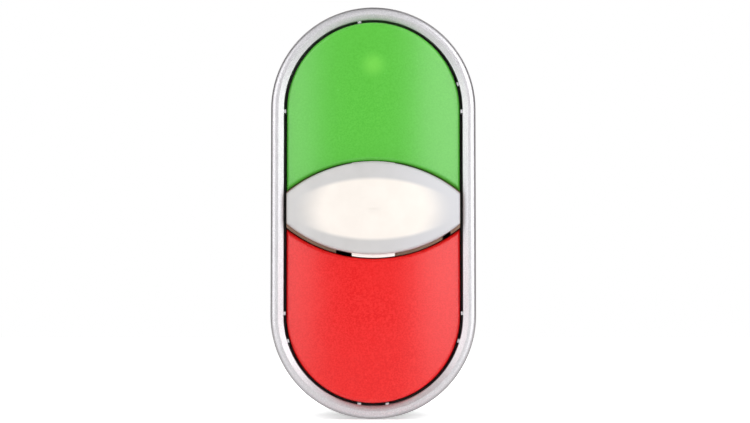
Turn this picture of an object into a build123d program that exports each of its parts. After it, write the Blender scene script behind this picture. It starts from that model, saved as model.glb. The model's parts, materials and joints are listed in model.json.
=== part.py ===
"""Double pushbutton with a signal lens, for a 22 mm hole in a control panel.

The unit is modelled lying on its back: x to the right, y up the front, z out of the panel towards the user,
with the panel's front surface at z = 0 and the panel hole's centre on the z axis.
write() stands it up: +X right, +Y into the panel, +Z up. All sizes are in millimetres.
"""

import os
from math import atan, atan2, degrees

from build123d import *

# ---------------------------------------------------------------- driving dimensions
# Front, seen from the user's side
front_width = 29.7
front_height = 59.7
ring_width = 1.85  # the bezel's rim, from its outer edge to its opening
button_gap = 0.43  # between a button or the lens and the bezel's opening
lens_height = 13.4
lens_side_height = 4.4  # of the straight cut at each side
lens_gap = 0.39  # between the lens and a button, on average
split_middle = 0.3  # height of the middle between the buttons over the panel hole's
lens_lift = 0.17  # how far the lens sits above that middle

# Thicknesses from the panel outwards
gasket_thickness = 1.0
base_thickness = 1.8
bezel_rim_thickness = 3.2
bezel_off_panel = 0.3
button_thickness = 5.2
button_crown_rise = 1.33  # over half a button's width
button_edge_radius = 0.5
lens_thickness = 4.6
lens_crown_rise = 1.92  # over half the lens's width
lens_edge_radius = 0.5
travel = 4.0
arm_over_base = 0.6  # with a button pressed home
skirt_over_base = 0.4  # with a button pressed home
lens_over_arm = 0.6
cup_round_skirt = 1.6

# Walls
bezel_wall = 1.0
button_wall = 1.3
button_top = 1.6
lens_wall = 1.2
holder_wall = 1.5
case_wall = 0.9

# Clearances
fit_clearance = 0.1  # between fixed pieces
slide_clearance = 0.2  # between a moving piece and its guide
touch_gap = 0.05  # between faces that meet when the unit works
wide_clearance = 0.35  # round a moving piece that something else guides

# Modelling aids
overshoot = 1.0  # how far a cutter passes the face it opens
bite = 0.3  # how far an added feature reaches into the wall it grows from

# Bezel
bezel_edge_radius = 0.75
bevel_width = 0.75
bevel_depth = 0.55
upper_rib_angles = {"left": (-1.5, 81.0), "right": (-1.5, 16.5)}  # round the end's centre, from the side
lower_rib_angles = {"left": (-1.5, 16.5, 81.0), "right": (-1.5, 16.5, 81.0)}
rib_width = 0.5
rib_reach = 0.3
rib_below_bevel = 0.25
hook_width = 5.0
hook_reach = 0.75
side_hook_y = 7.5

# Shank through the panel
shank_bore_radius = 9.0
collar_radius = 11.1
neck_radius = 10.9
thread_radius = 10.7
thread_depth = 0.55
thread_pitch = 1.5
thread_flank = 0.35  # share of the pitch
thread_crest = 0.15  # share of the pitch
collar_length = 0.9
neck_length = 2.0
thread_length = 11.1
shank_length = 18.5
groove_length = 2.0
groove_radius = 9.9
groove_from_end = 1.7
nose_width = 3.0
nose_radius = 12.1
bulkhead_depth = 8.0
bulkhead_thickness = 2.0

# Ring nut, drawn up to a 3 mm panel
panel_thickness = 3.0
nut_bore_radius = 11.0
nut_radius = 13.2
nut_flange_radius = 14.4
nut_flange_thickness = 1.6
nut_thickness = 5.5
nut_notches = 12
nut_notch_width = 2.2
nut_notch_depth = 1.0
nut_chamfer = 0.5
nut_bore_chamfer = 0.3

# Plungers that carry a press through the shank
plunger_inner = 5.2
plunger_width = 3.0
plunger_height = 5.0
arm_thickness = 1.6
foot_above_lens = 2.45
foot_height = 4.0
peg_x = 6.0
peg_radius = 1.1
peg_length = 1.2
peg_boss_radius = 2.1
plunger_hook_reach = 0.7
plunger_hook_length = 1.2
plunger_hook_inset = 0.4

# Springs under the buttons
spring_radius = 3.2
spring_wire = 0.5
spring_turns = 4.5
spring_pad_radius = 4.2
spring_pad_thickness = 0.8
spring_post_radius = 1.7
spring_post_height = 1.0

# Lens holder and light guide
guide_tube_radius = 4.0
guide_radius = 3.0
guide_head_half_width = 8.1
guide_head_thickness = 1.3
guide_length_into_shank = 14.0
spigot_wall = 0.8
spigot_height = 1.3
web_thickness = 1.2
stake_x = 11.5
stake_radius = 0.75
holder_leg_width = 4.2
holder_leg_above_arm = 0.4
lens_tab_width = 6.2
lens_tab_height = 2.9
lens_ledge_height = 2.0
lens_ledge_clearance = 0.12  # to the buttons
lens_ledge_breaks = ((-5.4, -3.1), (10.0, 11.2))  # low and high x, on the lower side

# Seals
gasket_inset = 2.65
gasket_lip = 0.25
gasket_edge = 1.2
seal_radius = 10.1
seal_thickness = 0.5
seal_lip_height = 0.4
seal_lip_width = 0.6

# Mounting adapter
adapter_width = 29.6
adapter_height = 45.0
adapter_front = 12.0  # depth behind the panel's front surface
adapter_thickness = 10.0
adapter_corner = 2.0
adapter_edge_chamfer = 0.6
grip_grooves = 6
grip_pitch = 2.2
grip_width = 1.0
grip_depth = 0.35
grip_low_y = -19.5
grip_end_margin = 1.6
adapter_boss_radius = 14.0
adapter_boss_height = 2.0
pin_x = -11.0
pin_y = 15.5
pin_radius = 1.5
lever_thickness = 1.6
lever_outer_radius = 16.2
lever_eye_radius = 2.8
lever_neck_length = 5.0
lever_neck_width = 5.0
lever_engaged_from = 42.0
lever_engaged_to = 116.0
lever_far_angle = 132.0
lever_handle_low_x = 8.6
lever_handle_high_x = 12.8
lever_handle_top = 25.0
lever_handle_root = 12.0
lever_pad_thickness = 3.6
lever_pad_height = 2.0
lever_pad_overhang = 0.5
lever_pad_round = 0.4
lever_groove_gap = 0.15
lever_thread_gap = 0.5
lever_slot_side = 0.9  # what is left of the adapter beside the lever's slot
lever_slot_low = 7.0
lever_pin_length = 6.8
pin_clearance = 0.02

# Contact and lamp blocks behind the adapter
block_pitch = 9.9
block_width = 9.6
block_depth = 24.0
case_corner_radius = 0.9
case_edge_chamfer = 0.35
cover_edge_chamfer = 0.25
label_height = 16.0
label_length = 8.0
label_depth = 0.25
label_corner_radius = 0.8
stake_ring_radius = 1.3
stake_ring_width = 0.35
stake_ring_y = 16.5
stake_ring_from_front = 5.0
rear_label_width = 5.6
rear_label_height = 15.0
screw_hole_chamfer = 0.4
tab_y = 19.5
tab_width = 4.8
tab_thickness = 1.4
tab_length = 3.6
tab_barb = 0.4
tab_barb_length = 0.8
partition_y = 11.0
partition_thickness = 1.1
screw_y = 17.0
screw_radius = 1.7
screw_head_radius = 2.9
screw_head_height = 2.6
screw_head_rear = 1.8  # depth of the screw heads below the block's rear face
screw_slot_width = 0.9
screw_slot_depth = 0.9
screw_slot_angle = 35.0
screw_head_round = 0.5
clamp_thickness = 1.0
clamp_size = 6.4
wire_gap = 2.35
wire_port_width = 5.2
wire_port_height = 3.8
port_above_strip = 0.4
port_funnel = 0.5
cover_pad_thickness = 0.5
cover_pad_length = 3.0
strip_width = 3.6
strip_thickness = 0.8
terminal_plate_width = 6.4
terminal_outer_y = 21.0
terminal_inner_y = 13.6
nut_collar_radius = 3.0
nut_collar_height = 2.0
tip_radius = 1.1
tip_height = 0.5
tip_y = 5.6
contact_inner_y = 4.0
bridge_half_length = 7.2
bridge_width = 3.4
cage_half_width_y = 3.2
cage_side = 0.7
cage_clearance = 0.25
cage_plate = 1.5
cage_over_rear = 3.8  # with the button pressed home
cage_foot = 1.4
window_top = 1.9
head_half_height = 2.2
head_length = 5.1
break_contact_depth = 5.2  # from the block's front face to the break contacts
block_spring_radius = 2.2
block_spring_wire = 0.45
block_spring_turns = 5.5
block_post_radius = 1.3
block_post_height = 1.4
bridge_spring_radius = 1.2
bridge_spring_wire = 0.35
bridge_spring_turns = 5.0

# Lamp in the middle block
pillar_radius = 3.6
pillar_bore_radius = 2.6
pillar_top = 14.4
pillar_flange_radius = 3.8
pillar_flange_thickness = 1.2
lamp_radius = 2.4
lamp_body_length = 3.0
lamp_top_gap = 0.5
lamp_lead_radius = 0.25
lamp_lead_x = 0.3
lamp_lead_y = 0.9
lamp_lead_on_board = 1.5
board_thickness = 1.0
board_half_width = 9.5
board_front = 3.4
board_over_rear = 2.7
rectifier_size = (2.2, 5.2, 6.0)
rectifier_below_edge = 4.0
pair_y = 5.8  # of the capacitor and the resistor, either side of the middle
pair_below_edge = 6.5
capacitor_radius = 1.3
capacitor_length = 5.0
resistor_radius = 1.2
resistor_length = 6.5
resistor_lift = 0.3
resistor_lead = 0.5


# ---------------------------------------------------------------- places that follow from them
def arc_radius(half_chord, rise):
    return (half_chord**2 + rise**2) / (2 * rise)


opening_inset = ring_width
button_inset = ring_width + button_gap
lens_width = front_width - 2 * button_inset
lens_middle = split_middle + lens_lift
lens_arc_radius = arc_radius(lens_width / 2, (lens_height - lens_side_height) / 2)
lens_arc_centre = lens_arc_radius - lens_height / 2
lens_crown_radius = arc_radius(lens_width / 2, lens_crown_rise)
button_crown_radius = arc_radius(lens_width / 2, button_crown_rise)
end_centre_y = (front_height - front_width) / 2
opening_radius = front_width / 2 - ring_width
housing_inset = bezel_wall + fit_clearance
base_front = gasket_thickness + base_thickness

foot_low = lens_middle + lens_height / 2 + foot_above_lens
foot_high = foot_low + foot_height
spring_y = (foot_high + front_height / 2 - button_inset - button_wall) / 2
arm_pressed_low = base_front + arm_over_base
arm_low = arm_pressed_low + travel
arm_high = arm_low + arm_thickness
skirt_low = base_front + travel + skirt_over_base
button_front = skirt_low + button_thickness
lens_low = arm_high + lens_over_arm
lens_front = lens_low + lens_thickness
cup_top = skirt_low + cup_round_skirt
ring_underside = cup_top + slide_clearance
bezel_front = ring_underside + bezel_rim_thickness

bulkhead_low = -bulkhead_depth - bulkhead_thickness
neck_start = -collar_length
thread_start = neck_start - neck_length
thread_end = thread_start - thread_length
shank_end = -shank_length
groove_low = shank_end + groove_from_end
groove_high = groove_low + groove_length

adapter_high = -adapter_front
adapter_plate = adapter_high - adapter_boss_height
adapter_low = adapter_high - adapter_thickness
lever_pin_low = adapter_plate - lever_pin_length
shank_stop = shank_end - bite
seal_low = base_front - seal_thickness - fit_clearance
seal_high = seal_low + seal_thickness
lever_low = groove_low + (groove_length - lever_thickness) / 2
lever_high = lever_low + lever_thickness

block_front = adapter_low
block_rear = block_front - block_depth
case_front = block_front - case_wall
case_rear = block_rear + case_wall
cage_top = case_front - fit_clearance
cage_bottom = case_rear + travel + cage_over_rear
head_top = block_front + head_length - fit_clearance
plunger_end = head_top + touch_gap
board_high = block_front - board_front
rectifier_high = board_high - rectifier_below_edge
pair_z = board_high - pair_below_edge
screw_head_low = block_rear + screw_head_rear
screw_head_high = screw_head_low + screw_head_height
clamp_high = screw_head_high + clamp_thickness
strip_low = clamp_high + wire_gap
strip_high = strip_low + strip_thickness
screw_tip = strip_high + nut_collar_height
window_high = cage_top - window_top
make_window_low = strip_high + 2 * tip_height + travel + touch_gap
break_strip_high = block_front - break_contact_depth
break_strip_low = break_strip_high - strip_thickness
break_window_low = cage_bottom + cage_foot


# ---------------------------------------------------------------- small helpers
def write(name, shape):
    """Stands the piece up and writes it as one file of closed solids."""
    solids = [s.clean() for s in (Rot(90, 0, 0) * shape).solids()]
    export_step(Compound(children=solids) if len(solids) > 1 else solids[0], f"parts/{name}.step")


def prism(sketch, low, high):
    return Pos(0, 0, low) * extrude(sketch, high - low)


def block(x, y, z):
    """A box from (low, high) along each axis, in any order."""
    (x0, x1), (y0, y1), (z0, z1) = sorted(x), sorted(y), sorted(z)
    return Pos((x0 + x1) / 2, (y0 + y1) / 2, (z0 + z1) / 2) * Box(x1 - x0, y1 - y0, z1 - z0)


def rod(x, y, radius, low, high):
    return Pos(x, y, (low + high) / 2) * Cylinder(radius, high - low)


def tube(x, y, radius, bore, low, high):
    return rod(x, y, radius, low, high) - rod(x, y, bore, low - overshoot, high + overshoot)


def stadium(inset):
    """The front's outline, with straight sides and half-round ends, moved in by inset."""
    return SlotOverall(front_height - 2 * inset, front_width - 2 * inset, rotation=90)


def eye(margin, middle=lens_middle):
    """The lens's outline, two arcs cut off straight at the sides, grown by margin, at that height."""
    radius = lens_arc_radius + margin
    arcs = (Pos(0, -lens_arc_centre) * Circle(radius)) & (Pos(0, lens_arc_centre) * Circle(radius))
    return Pos(0, middle) * (arcs & Rectangle(lens_width + 2 * margin, front_height))


def coil(x, y, radius, wire, turns, low, high):
    """A compression spring between two seats."""
    rise = high - low - wire - 2 * touch_gap
    path = Helix(pitch=rise / turns, height=rise, radius=radius)
    start = Plane(origin=path @ 0, z_dir=path % 0)
    spring = sweep(start * Circle(wire / 2), path=path, is_frenet=True)
    return Pos(x, y, low + wire / 2 + touch_gap) * spring


# ---------------------------------------------------------------- front of the unit
def bezel():
    """Snap-on rim: round outer edge, flat crest, bevel down to the opening, centring ribs, rear hooks."""
    shell = prism(stadium(0), bezel_off_panel, bezel_front)
    shell = fillet(shell.faces().sort_by(Axis.Z)[-1].edges(), bezel_edge_radius)
    shell -= prism(stadium(bezel_wall), bezel_off_panel - overshoot, ring_underside)
    shell -= prism(stadium(opening_inset), bezel_off_panel - overshoot, bezel_front + overshoot)
    flare = extrude(stadium(opening_inset), bevel_depth, taper=-degrees(atan(bevel_width / bevel_depth)))
    shell -= Pos(0, 0, bezel_front - bevel_depth) * flare
    for end, angles in ((1, upper_rib_angles), (-1, lower_rib_angles)):
        for side, name in ((1, "right"), (-1, "left")):
            for angle in angles[name]:
                shell += centring_rib(end, side, angle)
    for end in (1, -1):
        shell += hook(0, end * (front_height / 2 - bezel_wall), along_x=True)
        for side in (1, -1):
            shell += hook(side * (front_width / 2 - bezel_wall), end * side_hook_y, along_x=False)
    return shell


def hook(x, y, along_x):
    """A snap hook on the skirt's inner face, behind the body's base."""
    half = hook_width / 2
    if along_x:
        inward = y - hook_reach if y > 0 else y + hook_reach
        outward = y + bite if y > 0 else y - bite
        spans = (x - half, x + half), (inward, outward)
    else:
        inward = x - hook_reach if x > 0 else x + hook_reach
        outward = x + bite if x > 0 else x - bite
        spans = (inward, outward), (y - half, y + half)
    return block(*spans, (bezel_off_panel + touch_gap, gasket_thickness - fit_clearance))


def centring_rib(end, side, angle):
    """A small rib on the wall of the opening, pointing at an end's centre."""
    rib = block(
        (opening_radius - rib_reach, opening_radius + bite),
        (-rib_width / 2, rib_width / 2),
        (ring_underside, bezel_front - bevel_depth - rib_below_bevel),
    )
    turn = angle if side > 0 else 180 - angle
    return Pos(0, end * end_centre_y, 0) * Rot(0, 0, end * turn) * rib


def button_outline(middle, inset=0.0):
    """The upper button's outline, moved in by inset; middle is the height between the two buttons."""
    body = stadium(button_inset + inset) - eye(lens_gap + inset, middle)
    return body & (Pos(0, front_height / 2) * Rectangle(front_width, front_height))


def crown(lift):
    """A long cylinder along y whose top gives the buttons their curved front."""
    radius = button_crown_radius + lift
    centre = button_front - button_crown_radius
    return Pos(0, 0, centre) * Rot(90, 0, 0) * Cylinder(radius, 2 * front_height)


def button(middle):
    """The upper button: a crowned shell with two peg bosses, a spring pad and a way for the arm."""
    outer = prism(button_outline(middle), skirt_low, button_front + overshoot)
    outer &= crown(0)
    outer = fillet(outer.faces().sort_by(Axis.Z)[-1].edges(), button_edge_radius)
    hollow = prism(button_outline(middle, button_wall), skirt_low - overshoot, button_front)
    hollow &= crown(-button_top)
    cap = outer - hollow
    inside = prism(button_outline(middle, button_wall / 2), arm_high, button_front)
    inside &= crown(-button_top / 2)
    foot_y = (foot_low + foot_high) / 2
    hole_high = arm_high + peg_length + fit_clearance
    for x in (-peg_x, peg_x):
        cap += rod(x, foot_y, peg_boss_radius, arm_high, button_front) & inside
        cap -= rod(x, foot_y, peg_radius + touch_gap, arm_high - overshoot, hole_high)
    pad_low = spring_seat()
    cap += rod(0, spring_y, spring_pad_radius, pad_low, button_front) & inside
    cap += rod(0, spring_y, spring_post_radius, pad_low - spring_post_height, pad_low)
    left = -plunger_inner - plunger_width
    cap -= block(
        (left - slide_clearance, -plunger_inner + slide_clearance),
        (0, foot_low),
        (skirt_low - overshoot, arm_high + fit_clearance),
    )
    return cap


def spring_seat():
    """The flat pad under a button that its spring pushes on."""
    return button_front - button_top - spring_pad_thickness


def upright(shape):
    return shape


def turned_down(shape):
    """The lower button and its pieces are the upper ones turned half round."""
    return Rot(0, 0, 180) * shape


def plunger():
    """Carries the upper button's press: foot, arm past the lens, rod through the shank, retaining hooks."""
    left = -plunger_inner - plunger_width
    half = plunger_height / 2
    shape = block((left, -plunger_inner), (-half, half), (plunger_end, arm_high))
    shape += block((left, -plunger_inner), (half - bite, foot_high), (arm_low, arm_high))
    shape += block((left, -left), (foot_low, foot_high), (arm_low, arm_high))
    for x in (-peg_x, peg_x):
        shape += rod(x, (foot_low + foot_high) / 2, peg_radius, arm_high, arm_high + peg_length)
    hook_top = bulkhead_low - fit_clearance
    hooks = block(
        (left + plunger_hook_inset, -plunger_inner - plunger_hook_inset),
        (-half - plunger_hook_reach, half + plunger_hook_reach),
        (hook_top - plunger_hook_length, hook_top),
    )
    return shape + hooks


def return_spring():
    return coil(0, spring_y, spring_radius, spring_wire, spring_turns, base_front, spring_seat())


def lens_ball(lift):
    """The ball whose top gives the lens its domed front."""
    return Pos(0, lens_middle, lens_front - lens_crown_radius) * Sphere(lens_crown_radius + lift)


def lens():
    """Domed diffusing lens with a skirt, a ledge towards the buttons and a tab at the top and the bottom."""
    outer = prism(eye(0), lens_low, lens_front + overshoot) & lens_ball(0)
    outer = fillet(outer.faces().sort_by(Axis.Z)[-1].edges(), lens_edge_radius)
    hollow = prism(eye(-lens_wall), lens_low - overshoot, lens_front) & lens_ball(-lens_wall)
    shell = outer - hollow
    rim = eye(lens_gap - lens_ledge_clearance, split_middle) & Rectangle(lens_width, front_height)
    rim -= eye(-lens_wall / 2)
    tabs = rim & Rectangle(lens_tab_width, front_height)
    for low_x, high_x in lens_ledge_breaks:
        rim -= Pos((low_x + high_x) / 2, -front_height / 2) * Rectangle(high_x - low_x, front_height)
    shell += prism(rim, lens_low, lens_low + lens_ledge_height)
    return shell + prism(tabs, lens_low, lens_low + lens_tab_height)


def lens_holder():
    """Frame under the lens: wall and spigot, ways for the arms, legs with stakes, light guide's tube."""
    outer = -fit_clearance
    inner = outer - holder_wall
    leg_x = stake_x - stake_radius - bite
    leg_top = arm_pressed_low + holder_leg_above_arm
    frame = prism(eye(outer) - eye(inner), base_front, lens_low)
    frame -= block((-leg_x, leg_x), (-lens_height, lens_height), (base_front - overshoot, leg_top))
    spigot_outer = -lens_wall - fit_clearance
    spigot = eye(spigot_outer) - eye(spigot_outer - spigot_wall)
    frame += prism(spigot, lens_low - bite, lens_low + spigot_height)
    left = -plunger_inner - plunger_width
    for turn in (0, 180):
        way = block(
            (left - wide_clearance, -plunger_inner + wide_clearance),
            (0, lens_height),
            (base_front - overshoot, arm_high + slide_clearance),
        )
        frame -= Rot(0, 0, turn) * way
    half_web = lens_height / 2 + inner + bite
    web_y = (lens_middle - half_web, lens_middle + half_web)
    frame += rod(0, 0, guide_tube_radius, bulkhead_low, lens_low)
    frame += block((-web_thickness / 2, web_thickness / 2), web_y, (leg_top, lens_low))
    frame -= rod(0, 0, guide_radius + fit_clearance, bulkhead_low - overshoot, lens_low + overshoot)
    leg_y = (lens_middle - holder_leg_width / 2, lens_middle + holder_leg_width / 2)
    for side in (1, -1):
        leg = (side * leg_x, side * (lens_width / 2 - fit_clearance))
        frame += block(leg, leg_y, (base_front, leg_top + bite))
        frame += rod(side * stake_x, 0, stake_radius, gasket_thickness + fit_clearance, base_front + bite)
    return frame


def light_guide():
    """Clear rod from the lamp to a flat head under the lens."""
    head_outline = eye(-lens_wall - fit_clearance - spigot_wall - slide_clearance)
    head_outline &= Rectangle(2 * guide_head_half_width, front_height)
    head_low = lens_low + fit_clearance
    head = prism(head_outline, head_low, head_low + guide_head_thickness)
    return head + rod(0, 0, guide_radius, -guide_length_into_shank, head_low)


# ---------------------------------------------------------------- body and seals
def thread():
    """The shank's thread, as one ridge per pitch round the axis."""
    points = [(shank_bore_radius, thread_start)]
    turns = int(thread_length / thread_pitch)
    pitch = thread_length / turns
    for i in range(turns):
        top = thread_start - i * pitch
        points += [
            (thread_radius - thread_depth, top),
            (thread_radius, top - pitch * thread_flank),
            (thread_radius, top - pitch * (thread_flank + thread_crest)),
            (thread_radius - thread_depth, top - pitch * (2 * thread_flank + thread_crest)),
        ]
    points += [(thread_radius - thread_depth, thread_end), (shank_bore_radius, thread_end)]
    return revolve(Plane.XZ * make_face(Polyline(*points, close=True)), Axis.Z)


def housing():
    """The body: base and cup in the bezel, shank through the panel, bulkhead that guides the plungers."""
    shape = prism(stadium(housing_inset), gasket_thickness, base_front)
    shape += prism(stadium(housing_inset) - stadium(button_inset - slide_clearance), base_front, cup_top)
    shape += rod(0, 0, collar_radius, neck_start, gasket_thickness)
    shape += rod(0, 0, neck_radius, thread_start, neck_start)
    nose_x = (-nose_width / 2, nose_width / 2)
    shape += block(nose_x, (neck_radius - bite, nose_radius), (neck_start, gasket_thickness))
    shape -= rod(0, 0, shank_bore_radius, shank_end, base_front + overshoot)
    shape -= rod(0, 0, seal_radius + fit_clearance, seal_low, base_front + overshoot)
    shape += thread()
    tail = tube(0, 0, thread_radius, shank_bore_radius, shank_end, thread_end)
    tail -= tube(0, 0, thread_radius + overshoot, groove_radius, groove_low, groove_high)
    shape += tail
    bulkhead = rod(0, 0, shank_bore_radius + bite, bulkhead_low, -bulkhead_depth)
    bulkhead -= rod(0, 0, guide_tube_radius + fit_clearance, bulkhead_low - overshoot, base_front)
    for turn in (0, 180):
        bulkhead -= Rot(0, 0, turn) * plunger_way(slide_clearance)
    shape += bulkhead
    post = (base_front - bite, base_front + spring_post_height)
    through = (gasket_thickness - overshoot, base_front + overshoot)
    for side in (1, -1):
        shape += rod(0, side * spring_y, spring_post_radius, *post)
        shape -= rod(side * stake_x, 0, stake_radius + touch_gap, *through)
    return shape


def plunger_way(clearance):
    """The space that a plunger's rod slides in, grown by clearance."""
    half = plunger_height / 2 + clearance
    return block(
        (-plunger_inner - plunger_width - clearance, -plunger_inner + clearance),
        (-half, half),
        (-shank_length, base_front + 2 * overshoot),
    )


def panel_gasket():
    """Flat rubber gasket with raised edges on the body's side."""
    outer = stadium(gasket_inset)
    hole_radius = collar_radius + fit_clearance
    shape = prism(outer - Circle(hole_radius), 0, gasket_thickness)
    half_slot = nose_width / 2 + fit_clearance
    through = (-overshoot, gasket_thickness + overshoot)
    shape -= block((-half_slot, half_slot), (0, nose_radius + fit_clearance), through)
    relief = stadium(gasket_inset + gasket_edge) - Circle(hole_radius + gasket_edge)
    relief -= Rectangle(2 * (half_slot + gasket_edge), 2 * (nose_radius + gasket_edge))
    return shape - prism(relief, gasket_thickness - gasket_lip, gasket_thickness + overshoot)


def plunger_seal():
    """Rubber disc in the shank's mouth with a lip round each plunger."""
    shape = rod(0, 0, seal_radius, seal_low, seal_high)
    lips = rod(0, 0, seal_radius, seal_low, seal_high + seal_lip_height)
    for turn in (0, 180):
        shape += lips & (Rot(0, 0, turn) * plunger_way(fit_clearance + seal_lip_width))
    for turn in (0, 180):
        shape -= Rot(0, 0, turn) * plunger_way(fit_clearance)
    return shape - rod(0, 0, guide_tube_radius + touch_gap, seal_low - overshoot, base_front + overshoot)


def ring_nut():
    """Notched ring nut with a flange towards the panel."""
    high = -panel_thickness
    low = high - nut_thickness
    flange_low = high - nut_flange_thickness
    shape = rod(0, 0, nut_radius, low, high)
    shape = chamfer(shape.faces().sort_by(Axis.Z)[0].edges(), nut_chamfer)
    shape += rod(0, 0, nut_flange_radius, flange_low, high)
    notch_x = (nut_radius - nut_notch_depth, nut_flange_radius)
    notch_y = (-nut_notch_width / 2, nut_notch_width / 2)
    for i in range(nut_notches):
        shape -= Rot(0, 0, i * 360 / nut_notches) * block(notch_x, notch_y, (low - overshoot, flange_low))
    shape -= rod(0, 0, nut_bore_radius, low - overshoot, high + overshoot)
    return chamfer(shape.edges().filter_by(GeomType.CIRCLE).sort_by(SortBy.RADIUS)[:2], nut_bore_chamfer)


# ---------------------------------------------------------------- mounting adapter
def block_centres():
    return (-block_pitch, 0, block_pitch)


def adapter():
    """Frame that clips on the shank and carries the three blocks, with a slot for the locking lever."""
    outline = RectangleRounded(adapter_width, adapter_height, adapter_corner)
    shape = prism(outline, adapter_low, adapter_plate)
    shape = chamfer(shape.faces().sort_by(Axis.Z)[-1].edges(), adapter_edge_chamfer)
    groove_x = (adapter_width / 2 - grip_depth, adapter_width / 2 + overshoot)
    groove_z = (adapter_low + grip_end_margin, adapter_plate - grip_end_margin)
    for i in range(grip_grooves):
        low_y = grip_low_y + i * grip_pitch
        for side in (1, -1):
            shape -= block([side * x for x in groove_x], (low_y, low_y + grip_width), groove_z)
    shape += prism(Circle(adapter_boss_radius), adapter_plate - bite, adapter_high)
    shape -= rod(0, 0, thread_radius + slide_clearance, shank_stop, adapter_high + overshoot)
    slot_x = adapter_width / 2 - lever_slot_side
    slot_z = (lever_low - fit_clearance, lever_high + fit_clearance)
    shape -= block((-slot_x, slot_x), (lever_slot_low, adapter_height), slot_z)
    through = (adapter_low - overshoot, shank_stop + overshoot)
    shape -= rod(0, 0, pillar_radius + wide_clearance, *through)
    half = plunger_height / 2 + wide_clearance
    for side in (1, -1):
        inner_x, outer_x = side_limits(side)
        shape -= block((inner_x - wide_clearance, outer_x + wide_clearance), (-half, half), through)
        for x in block_centres():
            shape -= tab(x, side, slide_clearance, adapter_low - overshoot, adapter_low + tab_length + bite)
    pin_low = lever_pin_low - fit_clearance
    return shape - rod(pin_x, pin_y, pin_radius + pin_clearance, pin_low, adapter_high)


def tab(x, end, clearance, low, high):
    """A block's fixing tab, or with a clearance the slot that it goes into."""
    half = tab_width / 2 + clearance
    inner_y = tab_y - tab_thickness / 2 - clearance
    outer_y = tab_y + tab_thickness / 2 + clearance
    if clearance:
        outer_y += tab_barb
    return block((x - half, x + half), (end * inner_y, end * outer_y), (low, high))


def side_limits(side):
    """Low and high x of a plunger's rod, on the left (-1) or the right (1)."""
    edges = (side * plunger_inner, side * (plunger_inner + plunger_width))
    return min(edges), max(edges)


def sector(radius, start, stop):
    """The part of a disc between two angles, drawn from its centre."""
    arc = CenterArc((0, 0), radius, start, stop - start)
    return make_face([Line((0, 0), arc @ 0), arc, Line(arc @ 1, (0, 0))])


def adapter_lever():
    """Locking lever: its inner arc sits in the shank's groove, its handle stands out of the adapter."""
    engaged = sector(lever_outer_radius, lever_engaged_from, lever_engaged_to)
    engaged -= Circle(groove_radius + lever_groove_gap)
    free = sector(lever_outer_radius, lever_engaged_to - 1, lever_far_angle)
    free -= Circle(thread_radius + lever_thread_gap)
    handle_x = (lever_handle_low_x + lever_handle_high_x) / 2
    handle_width = lever_handle_high_x - lever_handle_low_x
    handle_length = lever_handle_top - lever_handle_root
    handle = Pos(handle_x, lever_handle_root + handle_length / 2) * Rectangle(handle_width, handle_length)
    eye_place = Pos(pin_x, pin_y)
    neck_turn = degrees(atan2(pin_y, pin_x))
    neck = Pos(-lever_neck_length / 2, 0) * Rectangle(lever_neck_length, lever_neck_width)
    eye_end = Circle(lever_eye_radius) + Rot(0, 0, neck_turn) * neck
    outline = engaged + free + handle + eye_place * eye_end
    middle = (lever_low + lever_high) / 2
    half_pad = lever_pad_thickness / 2
    pad = block(
        (lever_handle_low_x - lever_pad_overhang, lever_handle_high_x + lever_pad_overhang),
        (lever_handle_top - lever_pad_height, lever_handle_top),
        (middle - half_pad, middle + half_pad),
    )
    pad = fillet(pad.edges().filter_by(Axis.X), lever_pad_round)
    hole = rod(pin_x, pin_y, pin_radius + touch_gap, lever_low - overshoot, lever_high + overshoot)
    return prism(outline, lever_low, lever_high) + pad - hole


def lever_pin():
    return rod(pin_x, pin_y, pin_radius, lever_pin_low, adapter_plate)


# ---------------------------------------------------------------- contact and lamp blocks
def block_case(x, side):
    """A block's case, open on the side that its cover closes: side is 1 if the cover is at high x."""
    half = adapter_height / 2
    inner_x = x - side * block_width / 2
    cover_x = x + side * (block_width / 2 - case_wall)
    hollow_y = half - case_wall
    hollow_x = (inner_x + side * case_wall, cover_x + side * overshoot)
    shape = block((inner_x, cover_x), (-half, half), (block_rear, block_front))
    shape = fillet(shape.edges().filter_by(Axis.X), case_corner_radius)
    shape = chamfer(shape.faces().sort_by(Axis.X)[-1 if side < 0 else 0].edges(), case_edge_chamfer)
    shape -= block(hollow_x, (-hollow_y, hollow_y), (case_rear, case_front))
    shape -= Pos(x, 0, block_rear) * label_recess(Plane.XY, rear_label_width, rear_label_height)
    port_x = (x - wire_port_width / 2, x + wire_port_width / 2)
    port_high = strip_low + port_above_strip
    for end in (1, -1):
        shape += block(
            (inner_x + side * case_wall / 2, cover_x),
            (end * partition_y, end * (partition_y + partition_thickness)),
            (case_rear - bite, case_front + bite),
        )
        tab_end = block_front + tab_length
        shape += tab(x, end, 0, block_front - bite, tab_end)
        shape += Pos(0, end * tab_barb, 0) * tab(x, end, 0, tab_end - tab_barb_length, tab_end)
        head_hole = screw_head_radius + slide_clearance
        shape -= rod(x, end * screw_y, head_hole, block_rear - overshoot, case_rear + overshoot)
        sink = Cone(head_hole + screw_hole_chamfer, head_hole, screw_hole_chamfer)
        shape -= Pos(x, end * screw_y, block_rear + screw_hole_chamfer / 2) * sink
        wall_y = (end * (hollow_y - fit_clearance), end * (half + overshoot))
        shape -= block(port_x, wall_y, (port_high - wire_port_height, port_high))
        mouth = Rectangle(wire_port_width + 2 * port_funnel, wire_port_height + 2 * port_funnel)
        port_middle = (x, end * half, port_high - wire_port_height / 2)
        end_face = Plane(origin=port_middle, x_dir=(1, 0, 0), z_dir=(0, -end, 0))
        shape -= extrude(end_face * mouth, port_funnel, taper=45)
    return shape


def label_recess(plane, width, height):
    """A shallow field for a marking plate, cut into the face on that plane."""
    field = RectangleRounded(width, height, label_corner_radius)
    return extrude(plane * field, label_depth, both=True)


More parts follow.
